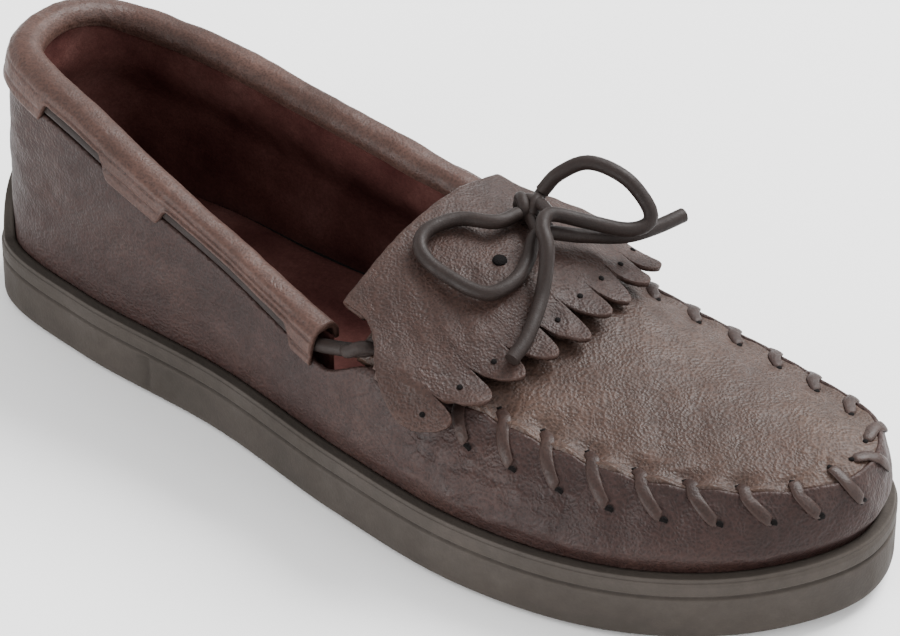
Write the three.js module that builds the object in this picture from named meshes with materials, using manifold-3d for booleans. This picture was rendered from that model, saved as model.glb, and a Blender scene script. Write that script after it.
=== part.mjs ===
// A slip-on moccasin for the right foot: a moulded cup sole, a one-piece leather wrap, a crowned
// apron laced to the wrap round the toe, a rolled collar with a lace in it, and a fringed flap
// with a bow over the instep. Millimetres, +X to the toe, +Y to the inner side, +Z up.
import * as THREE from "three";
import { mergeVertices } from "three/addons/utils/BufferGeometryUtils.js";
import Module from "manifold-3d";

const wasm = await Module();
wasm.setup();

// Overall sizes.
const SHOE_LENGTH = 267;
const BALL_WIDTH = 95;
const COLLAR_HEIGHT = 75.4; // crest of the collar behind the heel
const TOE_HEIGHT = 35; // apron seam at the tip
const TOE_SPRING = 3;
const SPRING_START = 0.42; // of the half length, where the sole begins to rise

// Sole.
const LIP_HEIGHT = 18;
const CUP_FLOOR = 8;
const SOLE_WALL = 3.6;
const GUARD_RISE = 17; // of the lip behind the heel
const GUARD_THICK = 1.7;
const GROOVE_BELOW_LIP = 5.4;
const GROOVE_DEPTH = 0.8;

// Sheet stock and fits.
const GAP = 0.35;
const LEATHER = 1.6;
const LINING = 1;
const COUNTER = 1.2;
const COUNTER_TOP = 46;
const BOARD = 1.5;
const FOOTBED = 4;
const SOCK = 1;
const CUFF = 1.3;
const KILTIE = 1.5;
const TONGUE = 1.2;
const LACE = 3.8;
const SEAM_LACE = 1.9;

// Collar.
const CUFF_DEPTH = 8.8;
const CUFF_WINDOW_DEPTH = 3.3; // where the cuff is cut back to show the lace
const INNER_LEAF = 3.8;
const WRAP_STOP = 7.9; // the wrap ends this far below the crest
const LACE_DEPTH = 5.4;
const LACE_FIT = 0.15; // from the cuff's outer side to the lace
const CREST_RETURN = 2.3; // from the crest to the inner face of the roll, at least
const PADDING_DEPTH = 26;
const PADDED_FROM = 12.5; // below the crest, where the padding is thickest
const CUFF_END = 3.8; // stations
const CUFF_TAPER = 0.6; // how much less deep the cuff is at its ends
const CUFF_WINDOWS = [[1.62, 2.18], [2.62, 3.6]];

// Instep.
const CROWN = 8; // of the apron at the throat
const TOE_CROWN = 2.5;
const CROWN_SKEW = 0.5; // the ridge of the instep lies to the inner side
const APRON_GAP = 2.2; // from the wrap's edge to the apron's
const FLAP_REAR = 3.9; // stations
const FLAP_FRONT = 5.08;
const FLAP_SLACK = 0.85;
const FLAP_STANDOFF = GAP + TONGUE + LACE + FLAP_SLACK; // over the lace that runs under the flap
const FLAP_FRONT_STANDOFF = 1.8;
const FRINGE_TABS = 9;
const FRINGE_DEPTH = 0.2; // of the flap's length
const EYELET = 4.6;

// Sixteen stations go round the sole from the back of the heel by the outer side to the toe and
// back by the inner side: x and y in half lengths and half ball widths, the inset of the belly and
// of the top edge in millimetres, and the height of the top edge between the toe's and the heel's.
const STATIONS = [
  [-1.0, 0.04, 4.0, 9.7, 1.0],
  [-0.925, -0.55, 4.0, 10.3, 1.03],
  [-0.66, -0.74, 3.6, 9.8, 0.875],
  [-0.3, -0.8, 3.0, 6.7, 0.54],
  [0.04, -0.97, 2.4, 8.6, 0.29],
  [0.36, -1.05, 2.0, 14.0, 0.18],
  [0.66, -0.89, 1.8, 12.5, 0.08],
  [0.885, -0.48, 1.6, 9.5, 0.03],
  [1.0, 0.11, 1.5, 5.5, 0.0],
  [0.93, 0.65, 1.6, 5.0, 0.02],
  [0.71, 0.91, 1.8, 9.0, 0.06],
  [0.4, 0.95, 2.0, 11.0, 0.19],
  [0.045, 0.78, 2.4, 9.0, 0.44],
  [-0.315, 0.67, 3.0, 8.0, 0.68],
  [-0.66, 0.69, 3.6, 9.9, 0.81],
  [-0.915, 0.55, 4.0, 10.1, 0.88],
];
const COUNT = STATIONS.length;
const CUP_INSET = SOLE_WALL + GAP;
const TOE = COUNT / 2;

const lerp = THREE.MathUtils.lerp;
const smooth = (x, low = 0, high = 1) => THREE.MathUtils.smoothstep(x, low, high);
// Stations counted from the heel's centre on either side.
const fromHeel = (s) => Math.abs(s - COUNT * Math.round(s / COUNT));

// A closed curve through one column of the stations, at station s.
function column(s, index) {
  const i = Math.floor(s);
  const u = s - i;
  const [a, b, c, d] = [-1, 0, 1, 2].map((k) => STATIONS[(((i + k) % COUNT) + COUNT) % COUNT][index]);
  return 0.5 * (2 * b + (c - a) * u + (2 * a - 5 * b + 4 * c - d) * u * u + (3 * b - a - 3 * c + d) * u ** 3);
}

const outlineX = (s) => (column(s, 0) * SHOE_LENGTH) / 2;
const outlineY = (s) => (column(s, 1) * BALL_WIDTH) / 2;
// The belly of the heel stays inside the raised guard.
const belly = (s) => column(s, 2) + Math.max(0, CUP_INSET - column(s, 2)) * smooth(1.7 - fromHeel(s), 0, 0.5);
const edgeInset = (s) => column(s, 3);
const edgeHeight = (s) => lerp(TOE_HEIGHT, COLLAR_HEIGHT, column(s, 4));

// How far the toe spring lifts everything above a place along the shoe.
function lift(x) {
  const start = (SPRING_START * SHOE_LENGTH) / 2;
  return TOE_SPRING * Math.max(0, (x - start) / (SHOE_LENGTH / 2 - start)) ** 2;
}

// The plan's outward normal at station s.
function outward(s) {
  const step = 0.02;
  const dx = outlineX(s + step) - outlineX(s - step);
  const dy = outlineY(s + step) - outlineY(s - step);
  return new THREE.Vector2(dy, -dx).normalize();
}

// The point at station s, set in from the outline, at height z above the toe spring.
function at(s, [inset, z]) {
  const n = outward(s);
  const x = outlineX(s) - n.x * inset;
  return new THREE.Vector3(x, outlineY(s) - n.y * inset, z + lift(x));
}

// 0 where the top edge is the rolled collar, 1 where it is the apron's seam.
const seamShare = (s) => smooth(fromHeel(s), 3.7, 4.9);
const ROLL_POWER = 4;
const SEAM_POWER = 2.2;

// The outer face of the upper, as inset and height: h is 0 at the lip's height and 1 at the edge.
function wall(s, h) {
  const rolled = 1 - (1 - h ** ROLL_POWER) ** (1 / ROLL_POWER);
  const lean = lerp(rolled, h ** SEAM_POWER, seamShare(s));
  const side = lerp(CUP_INSET, belly(s), smooth(h, 0, 0.3));
  return [side + (edgeInset(s) - belly(s)) * lean, lerp(LIP_HEIGHT, edgeHeight(s), h)];
}
const heightShare = (s, z) => THREE.MathUtils.clamp((z - LIP_HEIGHT) / (edgeHeight(s) - LIP_HEIGHT), 0, 1);
const wallInset = (s, z) => wall(s, heightShare(s, z))[0];

// A chain of (inset, height) points moved sideways: above 0 is into the shoe.
function offset(chain, distance) {
  return chain.map(([x, z], i) => {
    const [ax, az] = chain[Math.max(i - 1, 0)];
    const [bx, bz] = chain[Math.min(i + 1, chain.length - 1)];
    const long = Math.hypot(bx - ax, bz - az);
    return [x + ((bz - az) / long) * distance, z - ((bx - ax) / long) * distance];
  });
}
const band = (chain, near, far) => [...offset(chain, near), ...offset(chain, far).reverse()];

// A closed mesh from points and triangles, turned to face out.
function closed(points, triangles) {
  const volume = triangles.reduce((sum, [a, b, c]) => {
    return sum + points[a].dot(new THREE.Vector3().crossVectors(points[b], points[c]));
  }, 0);
  const order = volume < 0 ? triangles.map(([a, b, c]) => [a, c, b]) : triangles;
  const geometry = new THREE.BufferGeometry().setFromPoints(points);
  return geometry.setIndex(order.flat());
}

const quad = (a, b, c, d) => [[a, b, c], [a, c, d]];

// The triangles of a flat polygon, wound as the polygon is.
function capOf(polygon) {
  const flat = polygon.map(([x, y]) => new THREE.Vector2(x, y));
  const sign = Math.sign(THREE.ShapeUtils.area(flat));
  return THREE.ShapeUtils.triangulateShape(flat, []).map(([a, b, c]) => {
    return Math.sign(THREE.ShapeUtils.area([flat[a], flat[b], flat[c]])) === sign ? [a, b, c] : [a, c, b];
  });
}

// A solid swept along stations: section(s) is a closed polygon of (inset, height) points.
function swept(stations, section) {
  const sections = stations.map(section);
  const size = sections[0].length;
  const points = sections.flatMap((polygon, i) => polygon.map((p) => at(stations[i], p)));
  const triangles = [];
  for (let i = 0; i + 1 < stations.length; i++)
    for (let j = 0; j < size; j++) {
      const k = (j + 1) % size;
      triangles.push(...quad(i * size + j, i * size + k, (i + 1) * size + k, (i + 1) * size + j));
    }
  const last = (stations.length - 1) * size;
  triangles.push(...capOf(sections[0]).map(([a, b, c]) => [a, c, b]));
  triangles.push(...capOf(sections.at(-1)).map(([a, b, c]) => [a + last, b + last, c + last]));
  return closed(points, triangles);
}

// A solid all the way round the shoe: chain(s) runs from the middle of the lower face, over the
// outside, to the middle of the upper face, and rungs across the shoe close both ends.
const ROUND = 48;
function tray(chain) {
  const rings = Array.from({ length: ROUND }, (_, i) => (i * COUNT) / ROUND);
  const chains = rings.map(chain);
  const size = chains[0].length;
  const points = chains.flatMap((points, i) => points.map((p) => at(rings[i], p)));
  const triangles = [];
  for (let i = 0; i < ROUND; i++) {
    const n = (i + 1) % ROUND;
    for (let j = 0; j + 1 < size; j++)
      triangles.push(...quad(i * size + j, i * size + j + 1, n * size + j + 1, n * size + j));
  }
  const rungs = (row, flip) => {
    for (let i = 0; i < ROUND / 2; i++) {
      const corners = [i, i + 1, ROUND - i - 1, (ROUND - i) % ROUND].map((k) => k * size + row);
      const faces = quad(...corners).filter(([a, b, c]) => a !== b && b !== c && a !== c);
      triangles.push(...faces.map(([a, b, c]) => (flip ? [a, c, b] : [a, b, c])));
    }
  };
  rungs(0, false);
  rungs(size - 1, true);
  return closed(points, triangles);
}

// A sheet between two faces: face(i, j, side) over a grid, side 0 below and 1 above.
function sheet(rows, columns, face) {
  const size = columns + 1;
  const points = [];
  for (const side of [0, 1])
    for (let i = 0; i <= rows; i++) for (let j = 0; j <= columns; j++) points.push(face(i, j, side));
  const id = (i, j, side) => side * (rows + 1) * size + i * size + j;
  const triangles = [];
  for (let i = 0; i < rows; i++)
    for (let j = 0; j < columns; j++) {
      triangles.push(...quad(id(i, j, 1), id(i + 1, j, 1), id(i + 1, j + 1, 1), id(i, j + 1, 1)));
      triangles.push(...quad(id(i, j, 0), id(i, j + 1, 0), id(i + 1, j + 1, 0), id(i + 1, j, 0)));
    }
  const rim = [];
  for (let j = 0; j < columns; j++) rim.push([0, j]);
  for (let i = 0; i < rows; i++) rim.push([i, columns]);
  for (let j = columns; j > 0; j--) rim.push([rows, j]);
  for (let i = rows; i > 0; i--) rim.push([i, 0]);
  rim.forEach(([i, j], k) => {
    const [m, n] = rim[(k + 1) % rim.length];
    triangles.push(...quad(id(i, j, 0), id(i, j, 1), id(m, n, 1), id(m, n, 0)));
  });
  return closed(points, triangles);
}

// A round cord along a smooth curve through points.
function cord(points, diameter, steps, sides = 8) {
  const path = new THREE.CatmullRomCurve3(points, false, "centripetal");
  const ring = Array.from({ length: sides }, (_, k) => {
    const angle = (2 * Math.PI * k) / sides;
    return new THREE.Vector2(Math.cos(angle), Math.sin(angle)).multiplyScalar(diameter / 2);
  });
  return new THREE.ExtrudeGeometry(new THREE.Shape(ring), { steps, extrudePath: path, bevelEnabled: false });
}

// Joins and cuts.
function toManifold(geometry) {
  const bare = new THREE.BufferGeometry().setAttribute("position", geometry.getAttribute("position"));
  if (geometry.index) bare.setIndex(geometry.index);
  const merged = mergeVertices(bare, 1e-4);
  const triVerts = new Uint32Array(merged.index.array);
  const vertProperties = merged.attributes.position.array;
  return new wasm.Manifold(new wasm.Mesh({ numProp: 3, vertProperties, triVerts }));
}
function cut(geometry, cutters) {
  const left = cutters.reduce((solid, c) => solid.subtract(toManifold(c)), toManifold(geometry));
  const { vertProperties, triVerts } = left.getMesh();
  const made = new THREE.BufferGeometry();
  made.setAttribute("position", new THREE.BufferAttribute(vertProperties, 3));
  return made.setIndex(new THREE.BufferAttribute(triVerts, 1));
}

// ---- Sole ----
function guardRise(s) {
  return GUARD_RISE * Math.max(0, 1 - fromHeel(s) ** 3);
}

function outsole() {
  return tray((s) => {
    const top = LIP_HEIGHT + guardRise(s);
    const groove = LIP_HEIGHT - GROOVE_BELOW_LIP;
    const raised = guardRise(s) / GUARD_RISE;
    const topOuter = lerp(0.9, SOLE_WALL - GUARD_THICK, raised);
    return [
      [7, 0],
      [1.4, 0],
      [0.3, 1],
      [0, 2.6],
      [0.1, groove - 0.9],
      [GROOVE_DEPTH, groove],
      [0.1, groove + 0.9],
      [0.2, LIP_HEIGHT - 1.4],
      [topOuter - 0.3, top - 0.7],
      [topOuter, top],
      [SOLE_WALL, top],
      [SOLE_WALL, LIP_HEIGHT - 2],
      [SOLE_WALL, CUP_FLOOR + 1.5],
      [SOLE_WALL + 1.5, CUP_FLOOR],
      [SOLE_WALL + 4, CUP_FLOOR],
    ];
  });
}

// ---- Upper ----
const WRAP_FLOOR = CUP_FLOOR + GAP;
const BOARD_FLOOR = WRAP_FLOOR + LEATHER + GAP;
const WALL_SHARES = [0.14, 0.3, 0.45, 0.6, 0.73, 0.84, 0.93, 1];

// How far below the crest the wrap stops: under the cuff, and not at all along the seam.
const wrapDrop = (s) => WRAP_STOP * (1 - smooth(fromHeel(s), CUFF_END + 0.05, CUFF_END + 0.4));

// The outer face of the wrap in the cup, then up the side as far as a share of the height.
function wrapChain(s) {
  const top = heightShare(s, edgeHeight(s) - wrapDrop(s));
  return [
    [CUP_INSET + 5, WRAP_FLOOR],
    [CUP_INSET + 1.6, WRAP_FLOOR],
    [CUP_INSET + 0.4, WRAP_FLOOR + 0.7],
    [CUP_INSET, WRAP_FLOOR + 2.2],
    [CUP_INSET, LIP_HEIGHT],
    ...WALL_SHARES.map((share) => wall(s, share * top)),
  ];
}
const wrap = () => tray((s) => band(wrapChain(s), 0, LEATHER));

function stationsBetween(from, to, count) {
  return Array.from({ length: count + 1 }, (_, i) => lerp(from, to, i / count));
}
// The shared stations from one station to another, so that layers on each other never cross.
function shared(from, to) {
  const all = Array.from({ length: 2 * ROUND + 1 }, (_, i) => ((i - ROUND) * COUNT) / ROUND);
  return [from, ...all.filter((s) => s > from + 0.06 && s < to - 0.06), to];
}
const HEEL_SIDE = shared(-CUFF_END, CUFF_END);

// Room for the stiffener between the wrap and the lining.
const counterRoom = (s) => (COUNTER + GAP) * (1 - smooth(fromHeel(s), 2.4, 3.3));
const LINING_BACK = LEATHER + GAP;

// From the crest to the inner face of the roll: never less than the lace in it needs.
function crestReturn(s) {
  const lace = wallInset(s, edgeHeight(s) - LACE_DEPTH) + LACE_FIT + LACE;
  return Math.max(CREST_RETURN, lace + GAP + LINING - edgeInset(s));
}

// The foot's side of the collar lining: thin low down, padded near the top.
function liningFace(s, z) {
  const thin = wallInset(s, z) + LINING_BACK + counterRoom(s) + LINING;
  const crest = edgeHeight(s);
  const padded = edgeInset(s) + crestReturn(s);
  return lerp(thin, Math.max(thin, padded), smooth(z, crest - PADDING_DEPTH, crest - PADDED_FROM));
}
const PAD_DEPTHS = [26, 22.5, 19, 16, 12.5, 9.5, 6, 2.9]; // below the crest
const padHeights = (s) => PAD_DEPTHS.map((depth) => edgeHeight(s) - depth);

function quarterLining() {
  return swept(HEEL_SIDE, (s) => {
    const low = stationsBetween(BOARD_FLOOR + 0.2, edgeHeight(s) - PAD_DEPTHS[0], 4);
    const heights = [...low.slice(0, -1), ...padHeights(s)];
    const face = heights.map((z) => [liningFace(s, z), z]);
    return [...face, ...heights.map((z) => [liningFace(s, z) - LINING, z]).reverse()];
  });
}

function heelCounter() {
  return swept(shared(-2.4, 2.4), (s) => {
    const top = Math.min(COUNTER_TOP, edgeHeight(s) - PADDING_DEPTH + 2);
    const heights = stationsBetween(BOARD_FLOOR + 1, top, 4);
    const face = heights.map((z) => [wallInset(s, z) + LINING_BACK, z]);
    return [...face, ...face.map(([x, z]) => [x + COUNTER - GAP, z]).reverse()];
  });
}

function collarFoam() {
  return swept(shared(-CUFF_END + 0.3, CUFF_END - 0.3), (s) => {
    const heights = padHeights(s).slice(1, 5);
    const back = heights.map((z) => [wallInset(s, z) + LINING_BACK, z]);
    const face = heights.map((z, i) => [Math.max(back[i][0] + 0.3, liningFace(s, z) - LINING - GAP), z]);
    return [...back, ...face.reverse()];
  });
}

function vampLining() {
  return swept(shared(CUFF_END + 0.1, COUNT - CUFF_END - 0.1), (s) => {
    const face = (distance) => offset(wrapChain(s), distance).slice(3, -1);
    return [...face(LINING_BACK), ...face(LINING_BACK + LINING).reverse()];
  });
}

// ---- Footbed ----
const BED_INSET = CUP_INSET + LINING_BACK + LINING + COUNTER + 2 * GAP;
function bedLayer(low, thick) {
  return tray((s) => {
    const inset = BED_INSET - (COUNTER + GAP) * smooth(fromHeel(s), 3.2, 4.2);
    return [[inset + 4, low], [inset, low], [inset, low + thick], [inset + 4, low + thick]];
  });
}

// ---- Collar ----
// The face that the cuff is folded over: up the outside, across the crest and down inside.
function collarFace(s, depth) {
  const crest = edgeHeight(s);
  const inset = edgeInset(s);
  const back = crestReturn(s);
  const start = heightShare(s, crest - depth);
  const rise = [0, 0.3, 0.55, 0.75, 0.9, 1].map((k) => wall(s, lerp(start, 1, k)));
  return [
    ...rise,
    [inset + 0.6 * back, crest - 0.25 * back],
    [inset + back, crest - back],
    [inset + back, crest - INNER_LEAF],
  ];
}
const inWindow = (s) => CUFF_WINDOWS.some(([a, b]) => [s, -s].some((v) => v > a - 1e-6 && v < b + 1e-6));
const WINDOW_SLOPE = 0.05; // stations over which a window's end is cut
function cuffDepth(s) {
  return inWindow(s) ? CUFF_WINDOW_DEPTH : CUFF_DEPTH - CUFF_TAPER * smooth(fromHeel(s), 3.3, CUFF_END);
}
function cuffStations() {
  const ends = CUFF_WINDOWS.flat().flatMap((e) => [e, -e]);
  const widened = CUFF_WINDOWS.flatMap(([a, b]) => [a - WINDOW_SLOPE, b + WINDOW_SLOPE]);
  const outer = widened.flatMap((e) => [e, -e]);
  return [...new Set([...HEEL_SIDE, ...ends, ...outer])].sort((a, b) => a - b);
}
const collarCuff = () => swept(cuffStations(), (s) => band(collarFace(s, cuffDepth(s)), -GAP - CUFF, -GAP));

// The lace's centre inside the roll at station s.
function laceInCollar(s) {
  const z = edgeHeight(s) - LACE_DEPTH;
  return at(s, [wallInset(s, z) + LACE / 2 + LACE_FIT, z]);
}

// ---- Apron ----
// A point of the instep: station s on the outer side, u from 0 at the outer edge to 1 at the
// inner edge, and beyond either edge down the side of the shoe.
function rung(s, inset = 0) {
  const left = at(s, [edgeInset(s) + inset, edgeHeight(s)]);
  const right = at(COUNT - s, [edgeInset(COUNT - s) + inset, edgeHeight(COUNT - s)]);
  return { left, right, across: right.clone().sub(left) };
}
function crown(s) {
  const toThroat = smooth(TOE - s, 0, TOE - FLAP_REAR);
  return lerp(TOE_CROWN, CROWN, toThroat) * smooth(TOE - s, -0.01, 0.9);
}
const crownShape = (u) => 4 * u * (1 - u) * (1 + CROWN_SKEW * (u - 0.5));
const DRAPE = new THREE.Vector2(0.66, -0.75); // out and down the side
const FAN = 1.7; // radians that the instep's normal turns through from edge to edge

function instep(s, u, height, inset = 0) {
  const { left, right, across } = rung(s, inset);
  const side = new THREE.Vector3(across.x, across.y, 0);
  const width = side.length();
  side.divideScalar(width);
  const inside = THREE.MathUtils.clamp(u, 0, 1);
  const beyond = (u - inside) * width;
  const point = left.clone().lerp(right, inside);
  point.z += crown(s) * crownShape(inside);
  point.addScaledVector(side, beyond * DRAPE.x);
  point.z += Math.abs(beyond) * DRAPE.y;
  const angle = FAN * (u - 0.5);
  point.z += Math.cos(angle) * height;
  return point.addScaledVector(side, Math.sin(angle) * height);
}

const APRON_REAR = 4.02;
function apronLayer(rear, low, thick, margin) {
  const [rows, columns] = [14, 8];
  return sheet(rows, columns, (i, j, side) => {
    const s = lerp(rear, TOE - 0.12 - margin * 0.02, (i / rows) ** 0.85);
    return instep(s, j / columns, low + side * thick, APRON_GAP + margin);
  });
}

// The leather sewn under the flap at the throat.
function tongue() {
  const [rows, columns] = [4, 8];
  return sheet(rows, columns, (i, j, side) => {
    return instep(lerp(FLAP_REAR, 4.5, i / rows), lerp(0.12, 0.88, j / columns), GAP + side * TONGUE);
  });
}

// The whipped lace that joins apron and wrap, lying in the groove between them.
function toeLacing() {
  const stops = stationsBetween(4.5, COUNT - 4.5, 30);
  const points = stops.map((s) => at(s, [edgeInset(s) + APRON_GAP / 2, edgeHeight(s) + SEAM_LACE / 2 + 0.4]));
  return cord(points, SEAM_LACE, 56, 6);
}

// ---- Flap and bow ----
// The flap's face over a grid: a runs from its fold to its fringe, b from the outer side to the inner.
function flapFace(a, b, height) {
  const spread = smooth(a, 0.1, 0.85);
  const u = lerp(lerp(0.12, -0.13, spread), lerp(0.92, 1.04, spread), b);
  const curve = 0.32 * (2 * b - 1) ** 2;
  const s = lerp(FLAP_REAR, FLAP_FRONT - curve, a);
  const low = lerp(FLAP_STANDOFF, FLAP_FRONT_STANDOFF, smooth(a, 0.5, 0.95));
  const overSeam = 1.6 * smooth(Math.abs(u - 0.5), 0.36, 0.5);
  return instep(s, u, low + overSeam + height);
}
const TAB_STEPS = 4;
const TAB_SHAPE = [0, 0.8, 1, 0.8]; // how far each tab reaches, from notch to notch
function kiltie() {
  const rows = [0, 0.05, 0.11, 0.3, 0.48, 0.66, 1 - FRINGE_DEPTH, 1];
  const roll = [1, 0.8, 0]; // the folded rear edge reaches down to the tongue
  const columns = FRINGE_TABS * TAB_STEPS;
  const body = sheet(rows.length - 1, columns, (i, j, side) => {
    const reach = rows[i] === 1 ? 1 - FRINGE_DEPTH * (1 - TAB_SHAPE[j % TAB_STEPS]) + 0.02 : rows[i];
    const down = (roll[i] ?? 0) * (FLAP_STANDOFF - TONGUE - 2 * GAP);
    return flapFace(reach, j / columns, side ? KILTIE : -down);
  });
  return cut(body, EYELETS.map(([a, b]) => eyeletPin(a, b)));
}
const EYELETS = [[0.42, 0.52], [0.42, 0.8]]; // along and across the flap
function eyeletPin(a, b) {
  const low = flapFace(a, b, -2);
  const high = flapFace(a, b, KILTIE + 2);
  const pin = new THREE.CylinderGeometry(EYELET / 2, EYELET / 2, low.distanceTo(high), 12);
  const along = high.clone().sub(low).normalize();
  const turn = new THREE.Quaternion().setFromUnitVectors(new THREE.Vector3(0, 1, 0), along);
  const middle = low.clone().lerp(high, 0.5);
  return pin.applyMatrix4(new THREE.Matrix4().compose(middle, turn, new THREE.Vector3(1, 1, 1)));
}

const KNOT = new THREE.Vector3(5, 4.2, 3.6); // half sizes
const knotCentre = flapFace(0.34, 0.76, KILTIE + GAP + KNOT.z);
function bowKnot() {
  const ball = new THREE.SphereGeometry(1, 12, 8).rotateX(Math.PI / 2);
  return ball.scale(...KNOT.toArray()).translate(...knotCentre.toArray());
}
const fromKnot = (x, y, z) => knotCentre.clone().add(new THREE.Vector3(x, y, z));
const onFlap = (a, b, height = KILTIE + GAP + LACE / 2 + 0.4) => flapFace(a, b, height);

// The outer loop lies on the flap and its end goes on past the knot to the inner side.
function outerBow() {
  return [
    fromKnot(0, -4.8, 0.3),
    fromKnot(-1.5, -12, 1.2),
    onFlap(0.16, 0.54),
    onFlap(0.1, 0.42),
    onFlap(0.13, 0.34),
    onFlap(0.23, 0.31),
    onFlap(0.36, 0.33),
    onFlap(0.48, 0.36),
    onFlap(0.56, 0.4),
    onFlap(0.58, 0.48),
    onFlap(0.54, 0.56),
    fromKnot(8.6, -7.5, -0.6),
    fromKnot(15, 2, -3.6),
    fromKnot(21.9, 10.7, -5.5),
    fromKnot(25.3, 18.8, -6),
    fromKnot(27.8, 28, -6),
  ];
}
// The inner loop stands up and its end hangs over the flap to the front.
function innerBow() {
  return [
    fromKnot(1, 3.9, 3),
    fromKnot(3.5, 7.2, 7.5),
    fromKnot(9.5, 11.9, 11),
    fromKnot(19, 14.4, 9),
    fromKnot(26, 14.9, 3),
    fromKnot(27.5, 13, -0.4),
    fromKnot(24.4, 8, -1),
    fromKnot(17, 1.5, 1.8),
    fromKnot(10, -4.6, 4.4),
    fromKnot(11.5, -10, 4),
    fromKnot(16.2, -14.2, 1.6),
    onFlap(0.72, 0.5, 4.8),
    onFlap(0.84, 0.38, 4.6),
    onFlap(0.9, 0.3, 5),
  ];
}

// The collar's lace, and its two ends that run in under the flap to the eyelets.
function laceEnd(turn) {
  const overTongue = GAP + TONGUE + LACE / 2 + 0.3;
  return [
    turn(4.06, 0.015, 1.2),
    turn(4.14, 0.08, overTongue),
    turn(4.22, 0.2, overTongue),
    turn(4.32, 0.34, overTongue),
  ];
}
function collarLace() {
  const run = stationsBetween(-CUFF_END + 0.1, CUFF_END - 0.1, 38).map(laceInCollar);
  const outer = laceEnd((s, u, height) => instep(s, u, height));
  const inner = laceEnd((s, u, height) => instep(s, 1 - u, height));
  return [...inner.reverse(), ...run, ...outer];
}

// ---- Assembly ----
const MATERIALS = {
  leather: new THREE.MeshStandardMaterial({ color: 0x5e463c, roughness: 0.6, metalness: 0 }),
  lining: new THREE.MeshStandardMaterial({ color: 0x3c2220, roughness: 0.85, metalness: 0 }),
  rubber: new THREE.MeshStandardMaterial({ color: 0x55504a, roughness: 0.75, metalness: 0 }),
  lace: new THREE.MeshStandardMaterial({ color: 0x4a3d37, roughness: 0.65, metalness: 0 }),
  board: new THREE.MeshStandardMaterial({ color: 0x8a7458, roughness: 0.9, metalness: 0 }),
  foam: new THREE.MeshStandardMaterial({ color: 0x2f2a28, roughness: 0.95, metalness: 0 }),
};
const shoe = new THREE.Group();
function add(name, material, geometry) {
  const mesh = new THREE.Mesh(geometry, MATERIALS[material]);
  mesh.name = name;
  shoe.add(mesh);
}

const FOAM_FLOOR = BOARD_FLOOR + BOARD + GAP;
add("outsole", "rubber", outsole());
add("leather_wrap", "leather", wrap());
add("insole_board", "board", bedLayer(BOARD_FLOOR, BOARD));
add("footbed_foam", "foam", bedLayer(FOAM_FLOOR, FOOTBED));
add("sock_lining", "lining", bedLayer(FOAM_FLOOR + FOOTBED + GAP, SOCK));
add("quarter_lining", "lining", quarterLining());
add("vamp_lining", "lining", vampLining());
add("heel_counter", "board", heelCounter());
add("collar_foam", "foam", collarFoam());
add("collar_cuff", "leather", collarCuff());
add("apron", "leather", apronLayer(APRON_REAR, -LEATHER, LEATHER, 0));
add("apron_lining", "lining", apronLayer(APRON_REAR + 0.05, -LEATHER - GAP - LINING, LINING, 1.5));
add("tongue", "leather", tongue());
add("toe_lacing", "leather", toeLacing());
add("kiltie", "leather", kiltie());
add("collar_lace", "lace", cord(collarLace(), LACE, 72));
add("bow_knot", "lace", bowKnot());
add("bow_outer", "lace", cord(outerBow(), LACE, 56));
add("bow_inner", "lace", cord(innerBow(), LACE, 56));

export default shoe;
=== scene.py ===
import math

import bmesh
import bpy
import numpy as np
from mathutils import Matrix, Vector


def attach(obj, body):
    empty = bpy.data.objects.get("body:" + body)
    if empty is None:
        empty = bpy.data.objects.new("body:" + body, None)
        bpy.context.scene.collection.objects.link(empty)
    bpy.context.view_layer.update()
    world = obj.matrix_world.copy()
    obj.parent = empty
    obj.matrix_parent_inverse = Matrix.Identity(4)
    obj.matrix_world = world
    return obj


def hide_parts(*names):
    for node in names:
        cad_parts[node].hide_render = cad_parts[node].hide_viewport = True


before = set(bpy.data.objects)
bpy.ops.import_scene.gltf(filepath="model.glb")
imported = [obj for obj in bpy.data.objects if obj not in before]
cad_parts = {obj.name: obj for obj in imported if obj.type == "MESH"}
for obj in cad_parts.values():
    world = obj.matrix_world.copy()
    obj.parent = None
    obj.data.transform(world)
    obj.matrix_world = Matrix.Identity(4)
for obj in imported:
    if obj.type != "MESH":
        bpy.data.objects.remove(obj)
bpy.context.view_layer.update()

MM = 0.001

# ---------------------------------------------------------------- driving sizes, in millimetres
LENGTH, BALL_WIDTH, HEEL_HEIGHT, TOE_HEIGHT = 267.0, 95.0, 75.4, 35.0
SPRING, SPRING_START = 3.0, 0.42
LIP, CUP_FLOOR, WALL, GUARD = 18.0, 8.0, 3.6, 17.0
GAP, LEATHER, LINING, COUNTER = 0.35, 1.6, 1.0, 1.2
CUFF_END, CUFF_DEPTH, WINDOW_DEPTH, INNER_LEAF = 3.8, 8.8, 3.3, 3.8
LACE, LACE_DEPTH, LACE_FIT, WRAP_STOP = 3.8, 5.4, 0.15, 7.9
CREST_RETURN, PADDING, PADDED_FROM, LINING_TOP = 2.3, 26.0, 12.5, 2.9
CROWN, TOE_CROWN, CROWN_SKEW = 8.0, 2.5, 0.5
FLAP_REAR, FLAP_FRONT, FLAP_STANDOFF, FLAP_LOW = 3.9, 5.08, 6.2, 1.8
TONGUE, KILTIE, APRON_GAP = 1.2, 1.5, 2.2
TABS, FRINGE = 9, 0.2
WINDOWS = ((1.62, 2.18), (2.62, 3.6))
STITCH_PITCH = 12.5
CUP_INSET = WALL + GAP
BACK = LEATHER + GAP

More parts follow.
